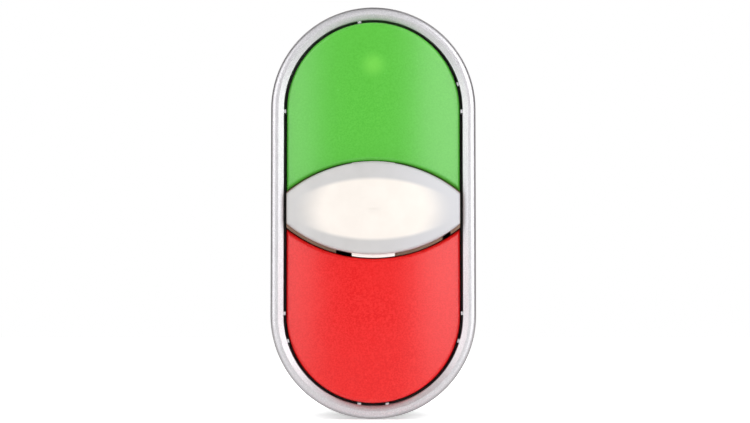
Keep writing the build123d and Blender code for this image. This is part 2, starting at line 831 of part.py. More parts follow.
def block_cover(x, side):
    """Flat cover with two pads on its inside that locate it between the partitions and the ends."""
    half = adapter_height / 2
    outer_x = x + side * block_width / 2
    inner_x = outer_x - side * case_wall
    plate = block((inner_x, outer_x), (-half, half), (block_rear, block_front))
    plate = fillet(plate.edges().filter_by(Axis.X), case_corner_radius)
    plate = chamfer(plate.faces().sort_by(Axis.X)[-1 if side > 0 else 0].edges(), cover_edge_chamfer)
    middle = Pos(outer_x, 0, (block_rear + block_front) / 2)
    plate -= middle * label_recess(Plane.YZ, label_height, label_length)
    for end in (1, -1):
        ring = Circle(stake_ring_radius) - Circle(stake_ring_radius - stake_ring_width)
        place = Pos(outer_x, end * stake_ring_y, block_front - stake_ring_from_front)
        plate -= place * extrude(Plane.YZ * ring, label_depth, both=True)
    pad_low = partition_y + partition_thickness + slide_clearance
    pad_high = half - case_wall - slide_clearance
    for end in (1, -1):
        plate += block(
            (inner_x, inner_x - side * cover_pad_thickness),
            (end * pad_low, end * pad_high),
            (case_front - fit_clearance - cover_pad_length, case_front - fit_clearance),
        )
    return plate


def strip_slots(x, side, low, high):
    """Ways through the two partitions for the contact strips, open towards the cover."""
    way_x = (x - side * (strip_width / 2 + fit_clearance), x + side * block_width)
    way_z = (low - fit_clearance, high + fit_clearance)
    way_y = (partition_y - overshoot, partition_y + partition_thickness + overshoot)
    return block(way_x, way_y, way_z) + block(way_x, [-y for y in way_y], way_z)


def terminal(x, end, inner_y, low, high):
    """One fixed contact: a clamped plate with a threaded collar, a riser if needed, and a strip inwards."""
    plate_x = (x - terminal_plate_width / 2, x + terminal_plate_width / 2)
    shape = block(plate_x, (end * terminal_inner_y, end * terminal_outer_y), (strip_low, strip_high))
    shape += rod(x, end * screw_y, nut_collar_radius, strip_high - bite, screw_tip)
    strip_x = (x - strip_width / 2, x + strip_width / 2)
    strip_root = end * (terminal_inner_y + bite)
    riser_y = (end * (terminal_inner_y - strip_thickness), strip_root)
    shape += block(strip_x, riser_y, (min(low, strip_low), max(high, strip_high)))
    shape += block(strip_x, (end * inner_y, strip_root), (low, high))
    through = (strip_low - overshoot, screw_tip + overshoot)
    return shape - rod(x, end * screw_y, screw_radius + touch_gap, *through)


def clamps(x):
    """The two clamping plates under the terminal screws."""
    half = clamp_size / 2
    made = []
    for end in (1, -1):
        y = end * screw_y
        plate = block((x - half, x + half), (y - half, y + half), (screw_head_high, clamp_high))
        made.append(plate - rod(x, y, screw_radius + fit_clearance, screw_head_high - overshoot, strip_low))
    return made


def screws(x):
    """The two terminal screws, with cross slots in their heads."""
    made = []
    for end in (1, -1):
        y = end * screw_y
        head = rod(x, y, screw_head_radius, screw_head_low, screw_head_high)
        head = fillet(head.faces().sort_by(Axis.Z)[0].edges(), screw_head_round)
        for turn, length in ((0, 2 * screw_head_radius), (90, screw_head_radius)):
            slot = Box(length, screw_slot_width, 2 * screw_slot_depth)
            head -= Pos(x, y, screw_head_low) * Rot(0, 0, screw_slot_angle + turn) * slot
        made.append(head + rod(x, y, screw_radius, screw_head_high - bite, screw_tip))
    return made


def contact_plunger(x, side, window_low):
    """Slides in the block: head towards the push rod, cage round the bridge, foot on the return spring."""
    half = strip_width / 2 + cage_clearance + cage_side
    cage_y = (-cage_half_width_y, cage_half_width_y)
    shoulder = (cage_top - cage_plate, cage_top)
    shape = block((x - half, x + half), cage_y, (cage_bottom, cage_top))
    window_x = (x - half + cage_side, x + half - cage_side)
    shape -= block(window_x, [y * 2 for y in cage_y], (window_low, window_high))
    wall_x = x - side * (block_width / 2 - case_wall - fit_clearance)
    shape += block((wall_x, x), cage_y, shoulder)
    head_x = (max(side * wall_x, plunger_inner) * side, side * (plunger_inner + plunger_width))
    shape += block(head_x, (-head_half_height, head_half_height), (shoulder[0], head_top))
    return shape


def contact_case(x, side):
    """A contact block's case, with the way for the plunger's head and a post for its spring."""
    shape = block_case(x, side)
    inner_x = x - side * (block_width / 2 - case_wall)
    way_x = (inner_x, side * (plunger_inner + plunger_width + slide_clearance))
    half = head_half_height + slide_clearance
    shape -= block(way_x, (-half, half), (case_front - fit_clearance, block_front + overshoot))
    return shape + rod(x, 0, block_post_radius, case_rear - bite, case_rear + block_post_height)


def tips(x, low, ys):
    """Round contact tips standing on the plane z = low."""
    return [rod(x, y, tip_radius, low, low + tip_height) for y in ys]


def fused(pieces):
    whole = pieces[0]
    for piece in pieces[1:]:
        whole += piece
    return whole


def write_contact_block(prefix, side, makes):
    """All the pieces of one contact block. makes is True where a press closes the contact."""
    x = side * block_pitch
    low, high = (strip_low, strip_high) if makes else (break_strip_low, break_strip_high)
    window_low = make_window_low if makes else break_window_low
    case = contact_case(x, side) - strip_slots(x, side, low, high)
    write(f"{prefix}_case", case)
    write(f"{prefix}_cover", block_cover(x, side))
    write(f"{prefix}_plunger", contact_plunger(x, side, window_low))
    write(
        f"{prefix}_return_spring",
        coil(x, 0, block_spring_radius, block_spring_wire, block_spring_turns, case_rear, cage_bottom),
    )
    fixed, tip_ys = [], (tip_y, -tip_y)
    fixed_tip_low = high if makes else low - tip_height
    for end, y in zip((1, -1), tip_ys):
        fixed.append(terminal(x, end, contact_inner_y, low, high) + fused(tips(x, fixed_tip_low, [y])))
    write(f"{prefix}_fixed_contacts", Compound(children=fixed))
    bridge_x = (x - bridge_width / 2, x + bridge_width / 2)
    bridge_y = (-bridge_half_length, bridge_half_length)
    if makes:
        plate_low = window_low
        bridge_tips = tips(x, plate_low - tip_height, tip_ys)
        spring_ends = (plate_low + strip_thickness, window_high)
    else:
        plate_low = low - 2 * tip_height - touch_gap - strip_thickness
        bridge_tips = tips(x, plate_low + strip_thickness, tip_ys)
        spring_ends = (window_low, plate_low)
    bridge = fused([block(bridge_x, bridge_y, (plate_low, plate_low + strip_thickness)), *bridge_tips])
    write(f"{prefix}_bridge", bridge)
    write(
        f"{prefix}_bridge_spring",
        coil(x, 0, bridge_spring_radius, bridge_spring_wire, bridge_spring_turns, *spring_ends),
    )
    write(f"{prefix}_clamps", Compound(children=clamps(x)))
    write(f"{prefix}_screws", Compound(children=screws(x)))


def lamp_led():
    """Round lamp body with a domed top and two leads down to the board."""
    dome = -pillar_top - lamp_top_gap - lamp_radius
    body_low = dome - lamp_body_length
    shape = rod(0, 0, lamp_radius, body_low, dome) + Pos(0, 0, dome) * Sphere(lamp_radius)
    for y in (lamp_lead_y, -lamp_lead_y):
        lead_x = board_thickness / 2 + lamp_lead_x
        shape += rod(lead_x, y, lamp_lead_radius, board_high - lamp_lead_on_board, body_low + bite)
    return shape


def lamp_pillar():
    """Tube that holds the lamp under the light guide, with a flange inside the case."""
    flange_high = case_front - touch_gap
    flange_low = flange_high - pillar_flange_thickness
    shape = rod(0, 0, pillar_radius, flange_low, -pillar_top)
    shape += rod(0, 0, pillar_flange_radius, flange_low, flange_high)
    return shape - rod(0, 0, pillar_bore_radius, flange_low - overshoot, -pillar_top + overshoot)


def lamp_board():
    half = board_thickness / 2
    half_width = board_half_width
    return block((-half, half), (-half_width, half_width), (case_rear + board_over_rear, board_high))


def rectifier():
    face = board_thickness / 2
    wide, tall, deep = rectifier_size
    return block((face, face + wide), (-tall / 2, tall / 2), (rectifier_high - deep, rectifier_high))


def capacitor():
    place = Pos(board_thickness / 2 + capacitor_radius, pair_y, pair_z)
    return place * Cylinder(capacitor_radius, capacitor_length)


def resistor():
    """A round body held off the board by its two leads."""
    face = board_thickness / 2
    place = Pos(face + resistor_lift + resistor_radius, -pair_y, pair_z)
    shape = place * Cylinder(resistor_radius, resistor_length)
    half_lead = resistor_lead / 2
    for end in (1, -1):
        lead_z = (resistor_length / 2 - bite, resistor_length / 2 + resistor_lead)
        shape += block(
            (face, face + resistor_lift + resistor_radius),
            (-pair_y - half_lead, -pair_y + half_lead),
            [pair_z + end * z for z in lead_z],
        )
    return shape


def write_lamp_block():
    """All the pieces of the lamp block in the middle."""
    case = block_case(0, 1) - strip_slots(0, 1, strip_low, strip_high)
    case -= rod(0, 0, pillar_radius + fit_clearance, case_front - overshoot, block_front + overshoot)
    write("lamp_case", case)
    write("lamp_cover", block_cover(0, 1))
    write("lamp_pillar", lamp_pillar())
    write("lamp_led", lamp_led())
    write("lamp_board", lamp_board())
    write("lamp_rectifier", rectifier())
    write("lamp_capacitor", capacitor())
    write("lamp_resistor", resistor())
    inner_y = board_half_width + fit_clearance
    strips = [terminal(0, end, inner_y, strip_low, strip_high) for end in (1, -1)]
    write("lamp_terminals", Compound(children=strips))
    write("lamp_clamps", Compound(children=clamps(0)))
    write("lamp_screws", Compound(children=screws(0)))


def main():
    os.makedirs("parts", exist_ok=True)
    write("bezel", bezel())
    write("housing", housing())
    write("panel_gasket", panel_gasket())
    write("plunger_seal", plunger_seal())
    write("ring_nut", ring_nut())
    for name, place, middle in (("green", upright, split_middle), ("red", turned_down, -split_middle)):
        write(f"{name}_button", place(button(middle)))
        write(f"{name}_plunger", place(plunger()))
        write(f"{name}_return_spring", place(return_spring()))
    write("lens", lens())
    write("lens_holder", lens_holder())
    write("light_guide", light_guide())
    write("adapter", adapter())
    write("adapter_lever", adapter_lever())
    write("lever_pin", lever_pin())
    write_contact_block("make_contact", -1, True)
    write_contact_block("break_contact", 1, False)
    write_lamp_block()


main()
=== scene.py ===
"""Finishes, springs and studio for the double pushbutton with a signal lens.

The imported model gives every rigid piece. This script makes the wound springs, gives each piece its finish,
and sets up the studio round it. Everything is in metres in the unit's own frame: +X right, +Y into the panel,
+Z up, with the panel's front surface at y = 0.
"""

import json
from math import cos, pi, radians, sin, tau

import bmesh
import bpy
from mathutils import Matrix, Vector


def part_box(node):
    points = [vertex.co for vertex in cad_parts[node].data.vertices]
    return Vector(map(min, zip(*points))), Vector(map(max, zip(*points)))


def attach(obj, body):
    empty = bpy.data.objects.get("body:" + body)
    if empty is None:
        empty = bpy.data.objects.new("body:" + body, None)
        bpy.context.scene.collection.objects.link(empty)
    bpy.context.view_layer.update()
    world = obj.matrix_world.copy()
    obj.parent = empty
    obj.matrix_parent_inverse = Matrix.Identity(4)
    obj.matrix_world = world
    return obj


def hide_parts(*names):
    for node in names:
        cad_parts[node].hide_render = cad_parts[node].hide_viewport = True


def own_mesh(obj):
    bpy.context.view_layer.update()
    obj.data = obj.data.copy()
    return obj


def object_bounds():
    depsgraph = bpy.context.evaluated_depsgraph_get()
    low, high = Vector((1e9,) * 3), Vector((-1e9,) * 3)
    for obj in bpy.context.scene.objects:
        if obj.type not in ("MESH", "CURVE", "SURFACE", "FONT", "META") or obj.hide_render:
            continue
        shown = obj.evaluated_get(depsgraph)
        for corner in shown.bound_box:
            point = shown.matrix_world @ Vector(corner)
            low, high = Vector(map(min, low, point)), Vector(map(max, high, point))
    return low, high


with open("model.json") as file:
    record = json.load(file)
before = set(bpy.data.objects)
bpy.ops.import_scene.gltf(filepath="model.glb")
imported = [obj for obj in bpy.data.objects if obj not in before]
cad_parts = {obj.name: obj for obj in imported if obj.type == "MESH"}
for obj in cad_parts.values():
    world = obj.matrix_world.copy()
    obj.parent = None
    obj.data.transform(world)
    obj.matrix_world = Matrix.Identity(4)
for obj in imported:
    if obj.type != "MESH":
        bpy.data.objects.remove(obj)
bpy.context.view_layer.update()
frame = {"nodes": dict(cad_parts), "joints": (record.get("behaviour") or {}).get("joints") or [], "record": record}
MM = 0.001
WHITE = (1, 1, 1)


# ------------------------------------------------------------------ finishes: how they are written
class Field:
    """A value that changes over a surface. Arithmetic on it adds the Math nodes that work it out."""

    def __init__(self, tree, socket):
        self.tree = tree
        self.socket = socket

    def maths(self, operation, *values):
        return self.tree.node("ShaderNodeMath", {"operation": operation}, dict(enumerate(values)))

    def __add__(self, other):
        return self.maths("ADD", self, other)

    def __sub__(self, other):
        return self.maths("SUBTRACT", self, other)

    def __rsub__(self, other):
        return self.maths("SUBTRACT", other, self)

    def __mul__(self, other):
        return self.maths("MULTIPLY", self, other)

    def __truediv__(self, other):
        return self.maths("DIVIDE", self, other)

    def __pow__(self, power):
        return self.maths("POWER", self, power)

    def __abs__(self):
        return self.maths("ABSOLUTE", self)

    def at_least(self, floor):
        return self.maths("MAXIMUM", self, floor)

    def back_and_forth(self, reach):
        """Runs from 0 up to reach and down again, over and over."""
        return self.maths("PINGPONG", self, reach)

    __radd__ = __add__
    __rmul__ = __mul__


class NodeTree:
    """The nodes of one material or of the surround."""

    def __init__(self, owner):
        owner.use_nodes = True
        self.nodes = owner.node_tree.nodes
        self.links = owner.node_tree.links

    def node(self, kind, settings=None, sockets=None, output=0):
        """Adds a node of that type: its settings first, then the values or links of its sockets."""
        made = self.nodes.new(kind)
        for name, value in (settings or {}).items():
            if name == "stops":
                self.set_stops(made.color_ramp, value)
            elif name == "ramp_interpolation":
                made.color_ramp.interpolation = value
            else:
                setattr(made, name, value)
        for name, value in (sockets or {}).items():
            self.feed(made.inputs[name], value)
        return Field(self, made.outputs[output])

    def feed(self, socket, value):
        """Links a Field to the socket, or sets a plain value on it. A colour may leave out its alpha."""
        if isinstance(value, Field):
            self.links.new(value.socket, socket)
        elif hasattr(socket.default_value, "__len__") and len(value) == 3 and len(socket.default_value) == 4:
            socket.default_value = (*value, 1)
        else:
            socket.default_value = value

    def set_stops(self, ramp, stops):
        while len(ramp.elements) < len(stops):
            ramp.elements.new(0.5)
        for element, (position, colour) in zip(ramp.elements, stops):
            element.position = position
            element.color = (*colour, 1)

    def camera_ray(self):
        """1 where a surface or the surround is looked at, 0 where it lights something."""
        return self.node("ShaderNodeLightPath", output="Is Camera Ray")


class Finish(NodeTree):
    """One material: a Principled shader whose sockets take plain values or Fields."""

    def __init__(self, name):
        self.material = bpy.data.materials.new(name)
        super().__init__(self.material)
        self.shader = self.nodes["Principled BSDF"]
        self.place = self.node("ShaderNodeTexCoord", output="Object")

    def principled(self, **values):
        """Feeds the shader's sockets, named as they are in Blender with _ for a space."""
        for name, value in values.items():
            self.feed(self.shader.inputs[name.replace("_", " ")], value)
        return self.material

    def axis(self, index):
        """One coordinate of the place on the piece, in millimetres."""
        return self.node("ShaderNodeSeparateXYZ", None, {0: self.place}, output=index) * 1000

    def distance_from(self, x, z):
        """How far a place lies from the point x, z, seen from the front, in millimetres."""
        across, up = self.axis(0) - x, self.axis(2) - z
        return (across * across + up * up) ** 0.5

    def noise(self, size, detail=2.0, roughness=0.5, stretch=(1, 1, 1)):
        """Cloudy noise from 0 to 1, with features about size metres across."""
        place = self.place
        if stretch != (1, 1, 1):
            place = self.node("ShaderNodeVectorMath", {"operation": "MULTIPLY"}, {0: place, 1: stretch})
        sockets = {"Vector": place, "Scale": 1 / size, "Detail": detail, "Roughness": roughness}
        return self.node("ShaderNodeTexNoise", None, sockets)

    def cells(self, size):
        """Distance to scattered points about size metres apart."""
        return self.node("ShaderNodeTexVoronoi", None, {"Vector": self.place, "Scale": 1 / size})

    def step(self, value, start, end):
        """0 up to start, 1 from end, smooth between."""
        sockets = {"Value": value, "From Min": start, "From Max": end}
        return self.node("ShaderNodeMapRange", {"interpolation_type": "SMOOTHSTEP"}, sockets)

    def mix(self, factor, first, second):
        """first where factor is 0, second where it is 1; both are colours."""
        return self.node("ShaderNodeMix", {"data_type": "RGBA"}, {0: factor, 6: first, 7: second}, output=2)

    def bump(self, height, distance, strength):
        sockets = {"Height": height, "Distance": distance, "Strength": strength}
        return self.node("ShaderNodeBump", None, sockets)


def shade(colour, factor):
    return tuple(channel * factor for channel in colour)


# ------------------------------------------------------------------ finishes: plastics and rubber
def spark_plastic(name, colour, deep, gloss, glow=None, gate=None, speck=None):
    """Coloured button plastic from a spark-eroded mould: fine matt pits with a slightly deeper tone in them.
    gate is where the mould was filled, which leaves a spot of the paler tone glow, and speck is a small
    fleck of the deep tone; each is a point x, z in millimetres."""
    finish = Finish(name)
    pits = finish.noise(0.24 * MM, detail=3, roughness=0.6)
    clouds = finish.noise(6 * MM, detail=2)
    tone = finish.mix(finish.step(pits, 0.38, 0.62), deep, colour)
    tone = finish.mix(finish.step(clouds, 0.3, 0.7) * 0.35, tone, shade(colour, 0.95))
    if gate:
        spot = 1 - finish.step(finish.distance_from(*gate), 0.2, 2.4)
        tone = finish.mix(spot * 0.65, tone, glow)
    if speck:
        fleck = 1 - finish.step(finish.distance_from(*speck), 0.1, 0.45)
        tone = finish.mix(fleck * 0.5, tone, deep)
    return finish.principled(
        Base_Color=tone,
        Roughness=0.15 + pits * 0.17,
        IOR=gloss,
        Subsurface_Weight=0.08,
        Subsurface_Radius=(1, 1, 1),
        Subsurface_Scale=0.6 * MM,
        Normal=finish.bump(pits, 0.014 * MM, 0.35),
    )


def moulded_plastic(name, colour, roughness, spread=0.08):
    """Technical plastic: fine leather grain and flow clouding. spread is how far its tone varies."""
    finish = Finish(name)
    grit = finish.noise(0.18 * MM, detail=3, roughness=0.6)
    flow = finish.noise(9 * MM, detail=3, stretch=(1, 0.35, 1))
    tone = finish.mix(finish.step(flow, 0.3, 0.7), shade(colour, 1 - spread), shade(colour, 1 + spread))
    tone = finish.mix(finish.step(grit, 0.55, 0.8) * 0.3, tone, shade(colour, 1 + 3 * spread))
    return finish.principled(
        Base_Color=tone,
        Roughness=roughness - 0.08 + grit * 0.16,
        IOR=1.5,
        Normal=finish.bump(grit, 0.02 * MM, 0.35),
    )


def gloss_plastic(name, colour, roughness=0.18):
    """Polished or lacquered casting, with a faint ripple and a trace of dust."""
    finish = Finish(name)
    ripple = finish.noise(1.6 * MM, detail=2)
    dust = finish.noise(0.1 * MM, detail=2)
    tone = finish.mix(finish.step(ripple, 0.35, 0.7), shade(colour, 0.93), colour)
    return finish.principled(
        Base_Color=tone,
        Roughness=roughness + dust * 0.08,
        IOR=1.5,
        Coat_Weight=0.25,
        Coat_Roughness=0.08,
        Normal=finish.bump(ripple, 0.03 * MM, 0.25),
    )


def rubber(name):
    """Black seal rubber with a dull bloom."""
    finish = Finish(name)
    grit = finish.noise(0.12 * MM, detail=4, roughness=0.7)
    bloom = finish.noise(5 * MM, detail=3)
    tone = finish.mix(finish.step(bloom, 0.4, 0.75) * 0.6, (0.012, 0.012, 0.012), (0.035, 0.034, 0.032))
    return finish.principled(
        Base_Color=tone,
        Roughness=0.72 + grit * 0.2,
        IOR=1.45,
        Normal=finish.bump(grit, 0.02 * MM, 0.5),
    )


def clear_plastic(name):
    """Polished light guide plastic, with faint flow lines along it."""
    finish = Finish(name)
    lines = finish.noise(0.8 * MM, detail=2, stretch=(1, 0.1, 1))
    return finish.principled(
        Base_Color=finish.mix(lines, (0.90, 0.94, 0.96), (0.97, 0.98, 0.98)),
        Roughness=0.04 + lines * 0.05,
        IOR=1.49,
        Transmission_Weight=0.85,
        Normal=finish.bump(lines, 0.02 * MM, 0.2),
    )


# ------------------------------------------------------------------ finishes: lens
def lens_plastic(name):
    """White diffusing lens, grey-white over its holder. Painted light: a painted highlight towards the right, and
    a brighter tone with a faint glow over the light guide's head, standing in for light shining through. Its
    ledge, deep in the gap round it, is painted a warm brown as painted shadow, and a tab just in front of the
    ledge's middle is painted white as light shining through the gap."""
    arc_radius = 24
    fade = 0.35
    side_fade = (6.9, 11.6)
    ledge, tab, tab_half_width = 2.3, 3.3, 3.2
    tab_painted_light, painted_ledge_shadow = (0.85, 0.81, 0.78), (0.22, 0.13, 0.085)
    finish = Finish(name)
    low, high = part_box("lens")
    guide_low, guide_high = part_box("light_guide")
    half_height = (guide_high.z - guide_low.z) / 2 / MM
    middle = (low.z + high.z) / 2 / MM
    across, up = finish.axis(0), finish.axis(2) - middle
    from_back = finish.axis(1) - high.y / MM
    bow = across * across / (2 * arc_radius)
    inside_arcs = 1 - finish.step(abs(up) + bow, half_height - fade, half_height + fade)
    inside_sides = 1 - finish.step(abs(across) + up * up * 0.12, *side_fade)
    lit = inside_arcs * inside_sides
    fog = finish.step(finish.noise(3 * MM, detail=3), 0.3, 0.7)
    grain = finish.noise(0.16 * MM, detail=2)
    over_holder = finish.mix(fog, (0.43, 0.422, 0.418), (0.46, 0.452, 0.448))
    # painted highlight: the lens is painted lighter towards the right, where the brighter soft box falls
    over_holder = finish.mix(finish.step(across, -3, 11), over_holder, (0.46, 0.46, 0.48))
    # painted light: a brighter cream tone over the light guide's head stands in for light shining through
    painted_backlight_tone = finish.mix(fog, (0.60, 0.56, 0.52), (0.63, 0.59, 0.55))
    in_tab_width = 1 - finish.step(abs(across), tab_half_width, tab_half_width + 0.2)
    on_tab = finish.step(from_back, -tab - 0.3, -tab) * in_tab_width
    on_ledge = finish.step(from_back, -ledge - 0.3, -ledge)
    # painted light: the tab deep in the gap is painted near white, as light shining through the gap
    tone = finish.mix(on_tab, finish.mix(lit, over_holder, painted_backlight_tone), tab_painted_light)
    # painted shadow: the ledge deep in the gap gets a warm brown shade tone
    tone = finish.mix(on_ledge, tone, painted_ledge_shadow)
    return finish.principled(
        Base_Color=tone,
        Roughness=0.3 + grain * 0.12,
        IOR=1.49,
        # painted glow: the unlit lens emits faintly over the light guide's head
        Emission_Color=finish.mix(lit, (0, 0, 0), (1, 0.93, 0.85)),
        Emission_Strength=0.1,
        Subsurface_Weight=0.1,
        Subsurface_Radius=(1, 1, 1),
        Subsurface_Scale=0.8 * MM,
        Normal=finish.bump(grain, 0.01 * MM, 0.3),
    )


# ------------------------------------------------------------------ finishes: metals
def silver_lacquer(name):
    """Silver lacquer on a moulded rim: fine metal flakes under a satin coat. Round the outer edge and down the
    side
    wall a darker tone is painted in: painted shade where the rim's edge turns away from the light."""
    edge_shade_from, edge_shade_full_at = 0.45, 0.1
    finish = Finish(name)
    low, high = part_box("bezel")
    end_radius = (high.x - low.x) / 2 / MM
    straight = (high.z - low.z) / 2 / MM - end_radius
    across, past_straight = finish.axis(0), (abs(finish.axis(2)) - straight).at_least(0)
    from_spine = (across * across + past_straight * past_straight) ** 0.5
    # painted shade: a mask that rises towards the rim's outer edge and down its side wall
    painted_edge_shade = finish.step(from_spine, end_radius - edge_shade_from, end_radius - edge_shade_full_at)
    flakes = finish.cells(0.17 * MM)
    haze = finish.noise(0.28 * MM, detail=4, roughness=0.65)
    drift = finish.noise(1.6 * MM, detail=3, stretch=(1, 1, 0.3))
    tone = finish.mix(finish.step(flakes, 0.1, 0.6), (0.66, 0.65, 0.67), (0.53, 0.52, 0.54))
    tone = finish.mix(finish.step(drift, 0.35, 0.7) * 0.3, tone, (0.575, 0.57, 0.59))
    # the painted shade darkens the lacquer round the outer edge and side wall
    tone = finish.mix(painted_edge_shade * 0.75, tone, (0.30, 0.28, 0.285))
    return finish.principled(
        Base_Color=tone,
        Metallic=0.97,
        Roughness=0.4 + haze * 0.1,
        IOR=1.5,
        Coat_Weight=0.1,
        Coat_Roughness=0.3,
        Normal=finish.bump(haze, 0.012 * MM, 0.5),
    )


def plated_steel(name, colour, roughness, stretch=(1, 1, 1)):
    """Zinc-plated steel: soft mottling and fine draw lines, long where stretch is small."""
    finish = Finish(name)
    mottle = finish.noise(1.2 * MM, detail=4, roughness=0.6)
    lines = finish.noise(0.12 * MM, detail=2, stretch=stretch)
    tone = finish.mix(finish.step(mottle, 0.3, 0.7), shade(colour, 0.82), shade(colour, 1.12))
    return finish.principled(
        Base_Color=tone,
        Metallic=1.0,
        Roughness=roughness - 0.06 + mottle * 0.14 + lines * 0.08,
        Normal=finish.bump(lines, 0.01 * MM, 0.4),
    )


def stamped_brass(name):
    """Stamped contact brass, rolled along its length and a little tarnished."""
    finish = Finish(name)
    rolled = finish.noise(0.15 * MM, detail=3, stretch=(1, 1, 0.12))
    tarnish = finish.noise(2.5 * MM, detail=4, roughness=0.65)
    tone = finish.mix(finish.step(tarnish, 0.45, 0.8), (0.80, 0.60, 0.27), (0.50, 0.33, 0.13))
    return finish.principled(
        Base_Color=tone,
        Metallic=1.0,
        Roughness=0.24 + tarnish * 0.2 + rolled * 0.06,
        Normal=finish.bump(rolled, 0.01 * MM, 0.4),
    )


# ------------------------------------------------------------------ finishes: lamp electronics
def board_laminate(name):
    """Circuit board: solder resist over copper tracks, with tinned pads."""
    half_track_pitch, half_pad_pitch = 1.2, 2.4
    finish = Finish(name)
    track = 1 - finish.step(finish.axis(2).back_and_forth(half_track_pitch), 0.28, 0.4)
    pad = track * (1 - finish.step(finish.axis(1).back_and_forth(half_pad_pitch), 0.45, 0.55))
    weave = finish.noise(0.25 * MM, detail=2)
    resist = finish.mix(weave, (0.012, 0.12, 0.05), (0.02, 0.17, 0.075))
    tone = finish.mix(track, resist, (0.04, 0.26, 0.10))
    tone = finish.mix(pad, tone, (0.70, 0.69, 0.66))
    return finish.principled(
        Base_Color=tone,
        Metallic=pad,
        Roughness=0.3 + weave * 0.12,
        Coat_Weight=0.3,
        Coat_Roughness=0.12,
        Normal=finish.bump(track, 0.03 * MM, 0.6),
    )


def banded_resistor(name):
    """Lacquered resistor body with three tone bands round it."""
    body, band_width = (0.55, 0.40, 0.22), 0.08
    bands = ((0.24, (0.30, 0.02, 0.02)), (0.42, (0.05, 0.05, 0.30)), (0.60, (0.02, 0.02, 0.02)))
    finish = Finish(name)
    low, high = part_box("lamp_resistor")
    along = (finish.axis(1) - low.y / MM) / ((high.y - low.y) / MM)
    stops = [(0, body)]
    for start, colour in bands:
        stops += [(start, colour), (start + band_width, body)]
    settings = {"stops": stops, "ramp_interpolation": "CONSTANT"}
    tone = finish.node("ShaderNodeValToRGB", settings, {"Fac": along})
    dimples = finish.noise(0.2 * MM)
    return finish.principled(Base_Color=tone, Roughness=0.32 + dimples * 0.15, Coat_Weight=0.3)


FINISHES = {
    "silver_lacquer": silver_lacquer("silver_lacquer"),
    "green_plastic": spark_plastic(
        "green_plastic",
        colour=(0.085, 0.412, 0.04),
        deep=(0.071, 0.372, 0.032),
        gloss=1.53,
        glow=(0.15, 0.53, 0.065),
        gate=(0, 21.4),
        speck=(-0.7, 18.8),
    ),
    "red_plastic": spark_plastic(
        "red_plastic", colour=(0.66, 0.012, 0.011), deep=(0.56, 0.0005, 0.0005), gloss=1.47
    ),
    "lens_plastic": lens_plastic("lens_plastic"),
    "clear_plastic": clear_plastic("clear_plastic"),
    "black_plastic": moulded_plastic("black_plastic", (0.03, 0.029, 0.029), 0.46),
    "dark_grey_plastic": moulded_plastic("dark_grey_plastic", (0.055, 0.057, 0.06), 0.5),
    "lever_plastic": moulded_plastic("lever_plastic", (0.80, 0.27, 0.02), 0.42),
    "light_grey_plastic": moulded_plastic("light_grey_plastic", (0.52, 0.53, 0.53), 0.48, spread=0.03),
    "white_plastic": moulded_plastic("white_plastic", (0.80, 0.80, 0.78), 0.4, spread=0.02),
    "green_block_plastic": moulded_plastic("green_block_plastic", (0.04, 0.30, 0.09), 0.4),
    "red_block_plastic": moulded_plastic("red_block_plastic", (0.52, 0.03, 0.025), 0.4),
    "black_rubber": rubber("black_rubber"),
    "zinc_steel": plated_steel("zinc_steel", (0.62, 0.62, 0.60), 0.3, stretch=(1, 1, 0.15)),
    "spring_steel": plated_steel("spring_steel", (0.55, 0.55, 0.55), 0.26),
    "contact_brass": stamped_brass("contact_brass"),
    "led_epoxy": gloss_plastic("led_epoxy", (0.86, 0.86, 0.80), 0.08),
    "board_laminate": board_laminate("board_laminate"),
    "component_black": gloss_plastic("component_black", (0.02, 0.02, 0.022)),
    "capacitor_sleeve": gloss_plastic("capacitor_sleeve", (0.03, 0.05, 0.16)),
    "resistor_body": banded_resistor("resistor_body"),
}


def finish_cad_pieces():
    """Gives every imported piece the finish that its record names."""
    for part in frame["record"]["subparts"]:
        piece = frame["nodes"][part["node"]]
        piece.data.materials.clear()
        piece.data.materials.append(FINISHES[part["material_slot"]])


# ------------------------------------------------------------------ wound springs
def wound_spring(name, centre, radius, wire, turns, low_y, high_y):
    """A compression spring along y, as one closed tube. turns is its working turns; flat is how much of a
    turn is wound flat at each end, where the tube creeps only half a wire, and softened is how far the
    working turns ease into those."""
    around, per_turn = 12, 40
    flat, softened = 0.9, 0.25
    rise = high_y - low_y - wire
    steps = int((turns + 2 * flat) * per_turn)
    mesh = bmesh.new()
    rings = []
    for i in range(steps + 1):
        turn = i / per_turn
        working = min(max((turn - flat) / turns, 0), 1)
        eased = working * working * (3 - 2 * working) * softened + working * (1 - softened)
        creep = wire * (min(turn, flat) / flat + max(turn - flat - turns, 0) / flat) / 2
        y = low_y + wire / 2 + creep + eased * (rise - wire)
        out = Vector((cos(tau * turn), 0, sin(tau * turn)))
        middle = Vector((centre[0], y, centre[1])) + out * radius
        ring = []
        for k in range(around):
            lean = tau * k / around
            to_skin = out * cos(lean) * wire / 2 + Vector((0, sin(lean) * wire / 2, 0))
            ring.append(mesh.verts.new(middle + to_skin))
        rings.append(ring)
    for first, second in zip(rings, rings[1:]):
        for k in range(around):
            following = (k + 1) % around
            mesh.faces.new((first[k], first[following], second[following], second[k]))
    mesh.faces.new(reversed(rings[0]))
    mesh.faces.new(rings[-1])
    bmesh.ops.recalc_face_normals(mesh, faces=mesh.faces)
    data = bpy.data.meshes.new(name)
    mesh.to_mesh(data)
    mesh.free()
    for face in data.polygons:
        face.use_smooth = True
    data.materials.append(FINISHES["spring_steel"])
    piece = bpy.data.objects.new(name, data)
    bpy.context.scene.collection.objects.link(piece)
    return piece


